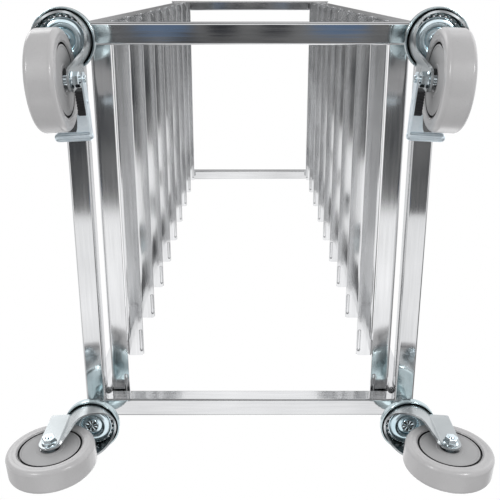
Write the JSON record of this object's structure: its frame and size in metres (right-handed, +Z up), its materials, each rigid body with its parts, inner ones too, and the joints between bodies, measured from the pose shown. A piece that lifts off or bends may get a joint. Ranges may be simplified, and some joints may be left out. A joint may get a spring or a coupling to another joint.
{
  "type": "sheet pan rack",
  "caption": "Open steel sheet pan rack: square tube frame with pairs of L-shaped pan runners, on swivel casters, two with foot brakes.",
  "frame": {"origin": "on the floor, under the centre of the frame", "axes": "+X across the pans to the right, +Y to the rear, away from the braked casters, +Z up"},
  "size_m": [0.704, 0.6649, 1.8],
  "materials": {
    "frame_tube": "polished stainless steel tube",
    "runner_sheet": "polished stainless steel sheet",
    "sleeve_steel": "plain steel",
    "zinc_plate": "bright zinc plate",
    "zinc_hardware": "bright zinc plate",
    "zinc_lever": "zinc plate",
    "ball_steel": "bright bearing steel",
    "bearing_steel": "bearing steel",
    "grey_tread": "smooth grey thermoplastic rubber",
    "grey_core": "grey moulded plastic",
    "black_plastic": "black moulded plastic"
  },
  "bodies": {
    "rack": {"post_front_left": "frame_tube", "post_front_right": "frame_tube", "post_rear_left": "frame_tube", "post_rear_right": "frame_tube", "base_crossbar_front": "frame_tube", "base_crossbar_rear": "frame_tube", "base_rail_left": "frame_tube", "base_rail_right": "frame_tube", "top_crossbar_front": "frame_tube", "top_crossbar_rear": "frame_tube", "top_rail_left": "frame_tube", "top_rail_right": "frame_tube", "runner_left_01": "runner_sheet", "runner_left_02": "runner_sheet", "runner_left_03": "runner_sheet", "runner_left_04": "runner_sheet", "runner_left_05": "runner_sheet", "runner_left_06": "runner_sheet", "runner_left_07": "runner_sheet", "runner_left_08": "runner_sheet", "runner_left_09": "runner_sheet", "runner_left_10": "runner_sheet", "runner_right_01": "runner_sheet", "runner_right_02": "runner_sheet", "runner_right_03": "runner_sheet", "runner_right_04": "runner_sheet", "runner_right_05": "runner_sheet", "runner_right_06": "runner_sheet", "runner_right_07": "runner_sheet", "runner_right_08": "runner_sheet", "runner_right_09": "runner_sheet", "runner_right_10": "runner_sheet", "stem_sleeves": "sleeve_steel", "swivel_heads": "zinc_plate", "kingpins": "zinc_plate", "raceway_balls": "ball_steel"},
    "fork_front_left": {"fork_front_left": "zinc_plate", "axle_front_left": "zinc_hardware"},
    "wheel_front_left": {"tread_front_left": "grey_tread", "hub_front_left": "grey_core", "bearings_front_left": "bearing_steel"},
    "brake_left": {"brake_lever_left": "zinc_lever", "brake_block_left": "black_plastic"},
    "fork_front_right": {"fork_front_right": "zinc_plate", "axle_front_right": "zinc_hardware"},
    "wheel_front_right": {"tread_front_right": "grey_tread", "hub_front_right": "grey_core", "bearings_front_right": "bearing_steel"},
    "brake_right": {"brake_lever_right": "zinc_lever", "brake_block_right": "black_plastic"},
    "fork_rear_left": {"fork_rear_left": "zinc_plate", "axle_rear_left": "zinc_hardware"},
    "wheel_rear_left": {"tread_rear_left": "grey_tread", "hub_rear_left": "grey_core", "bearings_rear_left": "bearing_steel"},
    "fork_rear_right": {"fork_rear_right": "zinc_plate", "axle_rear_right": "zinc_hardware"},
    "wheel_rear_right": {"tread_rear_right": "grey_tread", "hub_rear_right": "grey_core", "bearings_rear_right": "bearing_steel"}
  },
  "joints": [
    {"name": "swivel_front_left", "type": "hinge", "parent": "rack", "child": "fork_front_left", "pos_m": [-0.245, -0.29, 0.15], "axis": [0, 0, 1], "continuous": true},
    {"name": "roll_front_left", "type": "hinge", "parent": "fork_front_left", "child": "wheel_front_left", "pos_m": [-0.24275, -0.24706, 0.0635], "axis": [0.9986, -0.0523, 0], "continuous": true},
    {"name": "brake_press_left", "type": "hinge", "parent": "fork_front_left", "child": "brake_left", "pos_m": [-0.24275, -0.24706, 0.0635], "axis": [-0.9986, 0.0523, 0], "range_deg": [0, 16]},
    {"name": "swivel_front_right", "type": "hinge", "parent": "rack", "child": "fork_front_right", "pos_m": [0.245, -0.29, 0.15], "axis": [0, 0, 1], "continuous": true},
    {"name": "roll_front_right", "type": "hinge", "parent": "fork_front_right", "child": "wheel_front_right", "pos_m": [0.24275, -0.24706, 0.0635], "axis": [0.9986, 0.0523, 0], "continuous": true},
    {"name": "brake_press_right", "type": "hinge", "parent": "fork_front_right", "child": "brake_right", "pos_m": [0.24275, -0.24706, 0.0635], "axis": [-0.9986, -0.0523, 0], "range_deg": [0, 16]},
    {"name": "swivel_rear_left", "type": "hinge", "parent": "rack", "child": "fork_rear_left", "pos_m": [-0.245, 0.29, 0.15], "axis": [0, 0, 1], "continuous": true},
    {"name": "roll_rear_left", "type": "hinge", "parent": "fork_rear_left", "child": "wheel_rear_left", "pos_m": [-0.2879, 0.293, 0.0635], "axis": [0.0698, 0.9976, 0], "continuous": true},
    {"name": "swivel_rear_right", "type": "hinge", "parent": "rack", "child": "fork_rear_right", "pos_m": [0.245, 0.29, 0.15], "axis": [0, 0, 1], "continuous": true},
    {"name": "roll_rear_right", "type": "hinge", "parent": "fork_rear_right", "child": "wheel_rear_right", "pos_m": [0.2879, 0.293, 0.0635], "axis": [0.0698, -0.9976, 0], "continuous": true}
  ]
}
